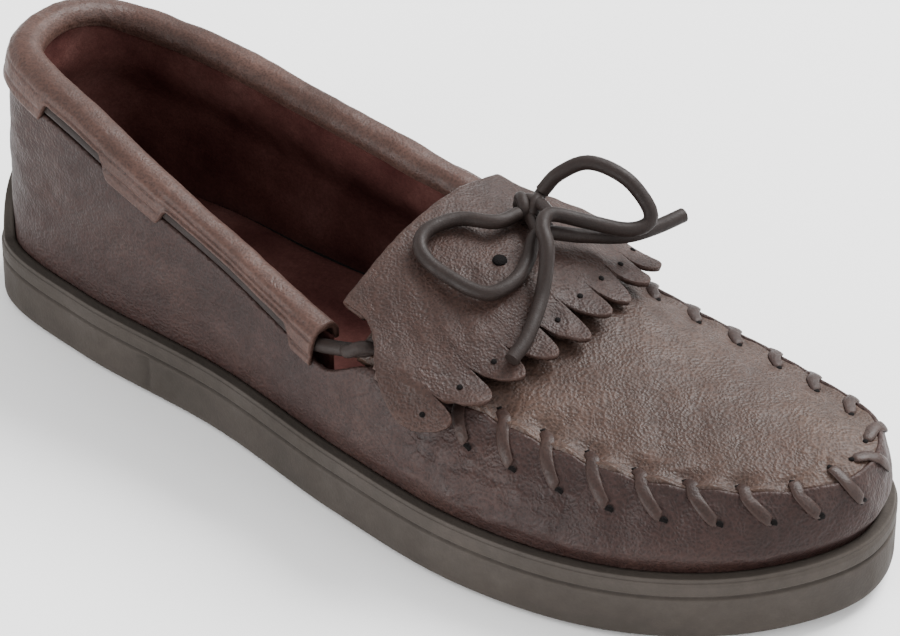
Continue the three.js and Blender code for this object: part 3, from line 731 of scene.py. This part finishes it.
STITCH_IN, STITCH_DOWN = 4.2, 5.0  # how far a stitch reaches into the apron and down the wrap
STITCH_SLANT, TOE_SLANT = 0.42, 0.18  # half of how far it leans along the seam, in pitches
THONG_HALF, THONG_FLAT = 1.7, 0.34  # half of the thong's width, and its thickness as a share of it
UP = np.array([0, 0, 1.0])


def stitch_point(s, t):
    """A point of a stitch on the leather: t from 0 in the apron's hole to 1 in the wrap's."""
    if t < 0.5:
        inner = min(s, COUNT - s, FAN_FROM)
        middle = instep(inner, 0.5, 0.0)
        width = np.linalg.norm((middle - at(s, edge_inset(s), edge_height(s)))[:2])
        return apron_surface(s, mix(STITCH_IN, 0.4, t / 0.5) / width) + [0, 0, 0.25 + 0.3 * t]
    share = 1 - mix(0.2, STITCH_DOWN, (t - 0.5) / 0.5) / (edge_height(s) - LIP)
    out = np.append(outward(np.array([s]))[0], 0.0)
    return wrap_surface(np.array([s]), np.array([IN_CUP + (1 - IN_CUP) * share]))[0] + out * 0.3


def build_seam_lacing():
    """Slanted flat stitches of thong over the ridge, with painted shade in the punched hole at each of their
    ends.
    """
    parts, seam_hole_shades, steps = [], [], 30
    first, last = math.ceil(phase(SEAM_FROM) - 0.2), math.floor(phase(COUNT - SEAM_FROM) + 0.2)
    for k in range(first, last + 1):
        shares = np.linspace(0, 1, 9)
        middle = np.interp(k * STITCH_PITCH, seam_run, seam_s)
        slant = STITCH_SLANT - (STITCH_SLANT - TOE_SLANT) * math.exp(-(((middle - 8) / 0.7) ** 2))
        stations = np.interp((k + mix(-slant, slant, shares)) * STITCH_PITCH, seam_run, seam_s)
        points = np.array([stitch_point(s, t) for s, t in zip(stations, shares)])
        out = np.append(outward(stations[-1:])[0], 0.0)
        ends = [points[0] - [0, 0, 1.3]], [points[-1] - out * 1.3]
        path, _ = resample(np.concatenate([ends[0], points, ends[1]]), steps)
        for _ in range(4):
            path[1:-1] = (path[:-2] + 2 * path[1:-1] + path[2:]) / 4
        along = np.linspace(-1, 1, steps)
        tilt = mix(0.15, 1.0, smooth(along, -0.3, 0.5))[:, None]
        width = THONG_HALF * (1 - 0.35 * np.abs(along) ** 3)
        aside = outward(np.interp(along, 2 * shares - 1, stations))
        aside = np.concatenate([aside, np.zeros((steps, 1))], axis=1)
        parts += tube(path, width, 12, THONG_FLAT, lies_on=aside * np.sin(tilt) + UP * np.cos(tilt))
        # Painted shade in the punched hole at each end of the stitch.
        seam_hole_shades += hole_shade_disc(points[0] - [0, 0, 0.3] + (points[0] - points[1]) * 0.3, UP, 0.8)
        seam_hole_shades += hole_shade_disc(points[-1] - out * 0.4 + (points[-1] - points[-2]) * 0.5, out, 1.15)
    obj = make("seam_thong", parts, THONG_LOOK, "shoe", "toe_lacing")
    make("seam_hole_shade", seam_hole_shades, HOLE_SHADE, "shoe")


def hole_shade_disc(centre, normal, radius):
    """Painted shade of a punched hole: a dark shallow dish that lies just proud of the leather."""
    n = normal / np.linalg.norm(normal)
    a = np.cross(n, [0.3, 0.9, 0.2])
    a /= np.linalg.norm(a)
    b = np.cross(n, a)
    turn = np.arange(12) * math.pi / 6
    ring = np.cos(turn)[:, None] * a + np.sin(turn)[:, None] * b
    shape = ((0, -0.3), (1, -0.3), (0.9, 0.28), (0, 0.2))
    rows = np.stack([centre + ring * radius * share + n * rise for share, rise in shape])
    return [(rows, grid_faces(4, 12, False, True))]


# ---------------------------------------------------------------- collar
def cuff_depth(s):
    """How far the cuff reaches down outside: short where the lace shows."""
    t = from_heel(s)
    shown = sum(smooth(t, a - 0.05, a + 0.03) * smooth(-t, -b - 0.05, -b + 0.03) for a, b in WINDOWS)
    return mix(CUFF_DEPTH - 0.6 * smooth(t, 3.3, CUFF_END), WINDOW_DEPTH, np.clip(shown, 0, 1))


# The shares of the cuff's width that lie outside, over the crest and inside.
OUTER_SHARE, CREST_SHARE, LEAF_SHARE = 0.55, 0.2, 0.25


def cuff_point(s, q):
    """A point of the cuff: q from 0 at its lower outer edge to 1 at its inner edge."""
    crest, inset, depth = edge_height(s), edge_inset(s), cuff_depth(s)
    start = np.clip((crest - depth - LIP) / (crest - LIP), 0, 1)
    h = mix(start, 1.0, np.clip(q / OUTER_SHARE, 0, 1))
    outer_inset, outer_z = wall(s, h)
    over = np.clip((q - OUTER_SHARE) / CREST_SHARE, 0, 1)
    back = crest_return(s)
    crest_inset = inset + back * np.sin(over * math.pi / 2)
    crest_z = crest - back * (1 - np.cos(over * math.pi / 2))
    leaf = np.clip((q - (1 - LEAF_SHARE)) / LEAF_SHARE, 0, 1)
    crest_z = crest_z - leaf * (INNER_LEAF - back)
    i = np.where(q <= OUTER_SHARE, outer_inset, crest_inset)
    z = np.where(q <= OUTER_SHARE, outer_z, crest_z)
    return i, z


CUFF_THICK = 1.3
FOLDS = ((0.7, 0.3, 0.5), (2.1, 0.35, 0.5), (5.6, 0.6, 0.6))  # how far down, how wide and how deep each is


def build_cuff():
    s = np.linspace(-CUFF_END, CUFF_END, 520)[:, None] + np.zeros((1, 64))
    q = np.linspace(0, 1, 64)[None, :] + 0 * s
    i, z = cuff_point(s, q)
    di, dz = np.gradient(i, axis=1), np.gradient(z, axis=1)
    size = np.maximum(np.hypot(di, dz), 1e-6)
    ni, nz = -dz / size, di / size
    # Smooth the turn over the crest, then lay in the long folds.
    for _ in range(3):
        ni[:, 1:-1] = (ni[:, :-2] + ni[:, 1:-1] + ni[:, 2:]) / 3
        nz[:, 1:-1] = (nz[:, :-2] + nz[:, 1:-1] + nz[:, 2:]) / 3
    length = np.hypot(ni, nz)
    ni, nz = ni / length, nz / length
    crest = edge_height(s)
    depth = np.where(q <= OUTER_SHARE, crest - z, 0)
    front = smooth(from_heel(s), 1.0, 3.2)
    p0 = at(s, i, z)
    folds = np.zeros_like(depth)
    for centre, size_mm, cutin in FOLDS:
        path = centre + 0.15 * np.sin(s * 2.3 + centre)
        folds -= cutin * (0.35 + 0.65 * front) * np.exp(-(((depth - path) / size_mm) ** 2)) * (q <= OUTER_SHARE)
    ripple = waves(p0 * [1, 1, 0.4], 9, 21) * 0.16 + waves(p0, 30, 22) * 0.25
    swell = 0.5 * np.exp(-(((q - 0.5) / 0.15) ** 2))
    edge = np.clip(q / 0.06, 0, 1) * np.clip((1 - q) / 0.05, 0, 1)
    thick = CUFF_THICK * (0.55 + 0.45 * np.sqrt(edge))
    outside = GAP + thick + (folds + ripple + swell) * smooth(edge, 0, 1)
    top = at(s, i + ni * outside, z + nz * outside)
    bottom = at(s, i + ni * GAP, z + nz * GAP)
    obj = make("collar_roll", shell(top, bottom), CUFF_LOOK, "shoe", "collar_cuff")


def build_lining():
    s = np.linspace(-CUFF_END, CUFF_END, 300)[:, None] + np.zeros((1, 50))
    k = np.linspace(0, 1, 50)[None, :] + 0 * s
    crest = edge_height(s)
    z = mix(10.5, crest - LINING_TOP, k)
    room = (COUNTER + GAP) * (1 - smooth(from_heel(s), 2.4, 3.3))
    thin = wall_inset(s, z) + BACK + room + LINING
    padded = edge_inset(s) + crest_return(s)
    face = mix(thin, np.maximum(thin, padded), smooth(z, crest - PADDING, crest - PADDED_FROM))
    p = at(s, face, z)
    soft = waves(p, 18, 31) * 0.35 * smooth(z, crest - 30, crest - 16) * smooth(crest - z, 4, 9)
    parts = shell(at(s, face + soft, z), at(s, face - 0.9, z))
    obj = make("collar_lining", parts, LINING_LOOK, "shoe", "quarter_lining")
    s = np.linspace(CUFF_END - 0.02, COUNT - CUFF_END + 0.02, 300)[:, None] + np.zeros((1, 40))
    k = np.linspace(0.0, 0.95, 40)[None, :] + 0 * s
    top = np.clip((edge_height(s) - wrap_drop(s) - LIP) / (edge_height(s) - LIP), 0, 1)
    h = np.clip((k - 0.1) / 0.9, 0, 1) * top
    inset, z = wall(s, h)
    z = z - (0.1 - np.minimum(k, 0.1)) / 0.1 * 6
    face = at(s, inset, z)
    n = normals_of(face)
    if (n[:, 20, :2] * outward(s[:, 20])).sum() > 0:
        n = -n
    parts = shell(face + n * (BACK + LINING), face + n * (BACK + 0.1))
    obj = make("toe_lining", parts, LINING_LOOK, "shoe", "vamp_lining")


def build_collar_lace():
    run = np.linspace(-CUFF_END + 0.1, CUFF_END - 0.1, 60)
    z = edge_height(run) - LACE_DEPTH
    middle = at(run, wall_inset(run, z) + LACE / 2 + LACE_FIT - 0.5, z)
    tip = [(4.06, 0.015, 1.2), (4.14, 0.08, 3.75), (4.22, 0.2, 3.75), (4.32, 0.34, 3.75)]
    outer = np.array([instep(s, u, h) for s, u, h in tip])
    inner = np.array([instep(s, 1 - u, h) for s, u, h in tip])[::-1]
    path, _ = resample(np.concatenate([inner, middle, outer]), 520)
    parts = tube(path, LACE / 2, 14)
    # At the throat the lace takes a short turn round itself on either side.
    turn = [(3.97, -0.015, 0.6), (4.02, -0.01, 2.6), (4.1, 0.03, 4.4), (4.19, 0.06, 2.2), (4.26, 0.05, 0.9)]
    for side in (1, -1):
        loop, _ = resample([instep(s, u if side > 0 else 1 - u, h) for s, u, h in turn], 30)
        parts += tube(loop, LACE / 2 - 0.2, 12)
    obj = make("lace_in_collar", parts, LACE_LOOK, "shoe", "collar_lace")


# ---------------------------------------------------------------- tongue, flap and knot
def build_tongue():
    s = np.linspace(FLAP_REAR, 4.5, 40)[:, None]
    u = np.linspace(0.12, 0.88, 60)[None, :]
    top = instep(s, u, GAP + TONGUE + 0 * s * u)
    obj = make("tongue_leather", shell(top, instep(s, u, GAP + 0 * s * u)), FLAP_LOOK, "shoe", "tongue")


def flap_top(a, b):
    """The flap's upper face, with the leather's soft waves."""
    p = flap_face(a, b, 0 * a * b)
    a, b = np.broadcast_arrays(a, b)
    soft = waves(p, 26, 41) * 0.5 * smooth(a, 0.1, 0.4) + waves(p, 9, 42) * 0.12
    return flap_face(a, b, KILTIE + soft)


def tab_reach(b):
    """0 in the notches between the flap's tabs and 1 at their tips."""
    return (1 - np.abs(2 * (b * TABS % 1) - 1) ** 2.0) ** 0.7


def flap_sheet(rows, b):
    """The flap's upper face: rows from 0 at its fold to 1 at its fringe, its tabs curled up a little."""
    rng = np.random.default_rng(7)
    curl = rng.uniform(0.5, 1.9, TABS)
    twist = rng.uniform(-0.7, 0.7, TABS)
    long = rng.uniform(-0.02, 0.02, TABS)
    tab = np.minimum((b * TABS).astype(int), TABS - 1)
    reach = tab_reach(b)
    notch, tip = 1 - FRINGE - 0.05, 1.02 + long[tab]
    a = rows * mix(notch, tip, reach)
    p = flap_top(a, b)
    out = smooth(a, notch - 0.03, tip)
    rise = out * reach**0.5 * (curl[tab] + twist[tab] * (2 * (b * TABS % 1) - 1) + 0.5 * (tab % 2))
    angle = 1.7 * (mix(-0.13, 1.04, b) - 0.5)
    return p + np.stack([0 * rise, np.sin(angle) * rise, np.cos(angle) * rise], -1)


def facing_up(p):
    n = normals_of(p)
    return -n if n[-20:, :, 2].sum() < 0 else n


TAB_STEPS = 16  # columns of the flap's grid to a tab
HOLE_ROW = -20  # the row of the grid, from its tips, with the hole in each tab
FOLD_RADIUS, FLAP_THICK = 1.9, 1.4


def build_flap():
    b = np.linspace(0, 1, TABS * TAB_STEPS + 1)[None, :]
    rows = np.linspace(0, 1, 96)[:, None]
    top = flap_sheet(rows, b)
    # The rear edge is a fold: the leather turns under and back.
    turn = np.linspace(math.pi, 0, 12)[:, None, None]
    first, normal, forward = top[:1], facing_up(top)[:1], top[2:3] - top[:1]
    forward /= np.linalg.norm(forward, axis=-1, keepdims=True)
    centre = first - normal * FOLD_RADIUS
    fold = centre + normal * FOLD_RADIUS * np.cos(turn) - forward * FOLD_RADIUS * 0.9 * np.sin(turn)
    under = centre - normal * FOLD_RADIUS + forward * np.linspace(5, 0.5, 5)[:, None, None]
    top = np.concatenate([under, fold[:-1], top])
    n = facing_up(top)
    parts = shell(top, top - n * FLAP_THICK)
    flap_hole_shades = []
    # Painted shade in the punched hole of each tab.
    for tab in range(TABS):
        middle = tab * TAB_STEPS + TAB_STEPS // 2
        flap_hole_shades += hole_shade_disc(top[HOLE_ROW, middle], n[HOLE_ROW, middle], 0.8)
    obj = make("fringed_flap", parts, FLAP_LOOK, "flap", "kiltie")
    # Painted shade in the flap's two punched lace openings.
    for a, b in ((0.42, 0.52), (0.42, 0.8)):
        grid = flap_top(np.array([[a, a + 0.02]]), np.array([[b, b]]))
        side = flap_top(np.array([[a, a]]), np.array([[b, b + 0.02]]))
        up = np.cross(grid[0, 1] - grid[0, 0], side[0, 1] - side[0, 0])
        flap_hole_shades += hole_shade_disc(grid[0, 0], up if up[2] > 0 else -up, 2.0)
    make("flap_hole_shade", flap_hole_shades, HOLE_SHADE, "flap")


TURN_RADIUS = 1.62
# Each of the knot's turns: its shift along X, its tilt and its size.
KNOT_TURNS = ((-1.9, 0.25, 1.0), (1.7, -0.2, 1.0), (0.0, 1.35, 0.92))
# The core and the strands to the two ends: steps, radius, and places from the knot's middle.
KNOT_CORE = (14, 1.6, ((-0.5, -5.2, 0.2), (0, -2, 0.4), (0.6, 2, 1.4), (1, 4.4, 3.2)))
KNOT_STRANDS = (
    (12, 1.55, ((1, -2, -0.4), (4.5, -4.6, -0.4), (8.4, -7.3, -0.6))),
    (12, 1.55, ((1.5, 1, 1.4), (5, -1.2, 3.2), (9.8, -4.4, 4.3))),
)


def build_knot():
    """The bow's knot: turns of lace round the two loops."""
    parts = []
    t = np.linspace(0, 2 * math.pi, 40)
    for shift, tilt, size in KNOT_TURNS:
        ring = np.stack([0 * t + shift, 3.0 * size * np.cos(t), 2.3 * size * np.sin(t)], -1)
        c, d = math.cos(tilt + 0.6), math.sin(tilt + 0.6)
        ring = ring @ np.array([[c, d, 0], [-d, c, 0], [0, 0, 1]])
        parts += tube(KNOT + ring, TURN_RADIUS)
    for steps, radius, places in (KNOT_CORE, *KNOT_STRANDS):
        path, _ = resample([from_knot(*place) for place in places], steps)
        parts += tube(path, radius, 12)
    obj = make("bow_knot_turns", parts, LACE_LOOK, "flap", "bow_knot")


# ---------------------------------------------------------------- padded footbed
SOCK_LOW, SOCK_HIGH = 16.6, 17.4
PRESSURE, FRAMES = 4, 20
MOST_SWELL = 0.9  # the most that the simulation may move a point along any axis


def footbed_grid(inset, z, rows=110, columns=37):
    """A flat shape that follows the inside of the shoe."""
    s = np.linspace(0.001, 7.999, rows)
    left, right = at(s, inset, z), at(COUNT - s, inset, z)
    k = np.linspace(0, 1, columns)[None, :, None]
    return left[:, None] * (1 - k) + right[:, None] * k


def build_footbed():
    """A sock lining over foam, blown up with cloth and cut back to MOST_SWELL, which most points reach."""
    inset = CUP_INSET + BACK + LINING + COUNTER + 2 * GAP + 0.6
    parts = shell(footbed_grid(inset, SOCK_HIGH), footbed_grid(inset, SOCK_LOW))
    obj = make("padded_sock", parts, LINING_LOOK, "shoe", "sock_lining")
    start = positions(obj)
    cloth = obj.modifiers.new("cloth", "CLOTH")
    cloth.settings.use_pressure = True
    cloth.settings.uniform_pressure_force = PRESSURE
    cloth.settings.effector_weights.gravity = 0
    for frame_number in range(1, FRAMES + 1):
        bpy.context.scene.frame_set(frame_number)
    settle(obj)
    bpy.context.scene.frame_set(1)
    moved = np.clip(positions(obj) - start, -MOST_SWELL * MM, MOST_SWELL * MM)
    obj.data.vertices.foreach_set("co", (start + moved).ravel())
    level = obj.modifiers.new("smooth", "SUBSURF")
    level.levels = level.render_levels = 1


def positions(obj):
    values = np.empty(len(obj.data.vertices) * 3, dtype=np.float32)
    obj.data.vertices.foreach_get("co", values)
    return values.reshape(-1, 3)


def settle(obj):
    """Applies every modifier of an object."""
    graph = bpy.context.evaluated_depsgraph_get()
    mesh = bpy.data.meshes.new_from_object(obj.evaluated_get(graph))
    obj.modifiers.clear()
    mesh.polygons.foreach_set("use_smooth", [True] * len(mesh.polygons))
    obj.data = mesh


build_sole()
build_wrap()
build_apron()
build_seam_lacing()
build_cuff()
build_lining()
build_collar_lace()
build_tongue()
build_flap()
build_knot()
build_footbed()

# The hidden layers keep their CAD shape and take a material.
HIDDEN = {"insole_board": BOARD, "heel_counter": BOARD, "footbed_foam": FOAM, "collar_foam": FOAM}
for node, look in HIDDEN.items():
    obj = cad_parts[node]
    obj.data.materials.clear()
    obj.data.materials.append(look)

# ---------------------------------------------------------------- floor and light
FLOOR_HALF, FLOOR_Z = 6, -0.0005
corners = [(x * FLOOR_HALF, y * FLOOR_HALF, FLOOR_Z) for x, y in ((-1, -1), (1, -1), (1, 1), (-1, 1))]
floor_mesh = bpy.data.meshes.new("floor")
floor_mesh.from_pydata(corners, [], [(0, 1, 2, 3)])
floor = bpy.data.objects.new("floor", floor_mesh)
bpy.context.scene.collection.objects.link(floor)
floor_look = bpy.data.materials.new("floor_look")
floor_look.use_nodes = True
floor_shader = floor_look.node_tree.nodes["Principled BSDF"]
floor_shader.inputs["Base Color"].default_value = (0.93, 0.93, 0.93, 1)
floor_shader.inputs["Roughness"].default_value = 0.9
floor_mesh.materials.append(floor_look)

world = bpy.data.worlds.new("studio")
world.use_nodes = True
background = world.node_tree.nodes["Background"]
background.inputs["Color"].default_value = (1.0, 1.0, 1.0, 1)
background.inputs["Strength"].default_value = 1.2
bpy.context.scene.world = world


def area_light(name, place, size, power):
    data = bpy.data.lights.new(name, "AREA")
    data.shape, data.size, data.size_y, data.energy = "RECTANGLE", size, size, power
    light = bpy.data.objects.new(name, data)
    light.location = place
    light.rotation_euler = (AIM - Vector(place)).to_track_quat("-Z", "Y").to_euler()
    bpy.context.scene.collection.objects.link(light)


area_light("far_light", (0.2, 0.85, 1.05), 0.8, 44)
area_light("toe_light", (1.3, 0.2, 0.7), 0.6, 8)
area_light("heel_light", (-1.4, -0.35, 0.5), 0.7, 4)
area_light("side_light", (-0.25, -1.1, 0.16), 0.5, 15)
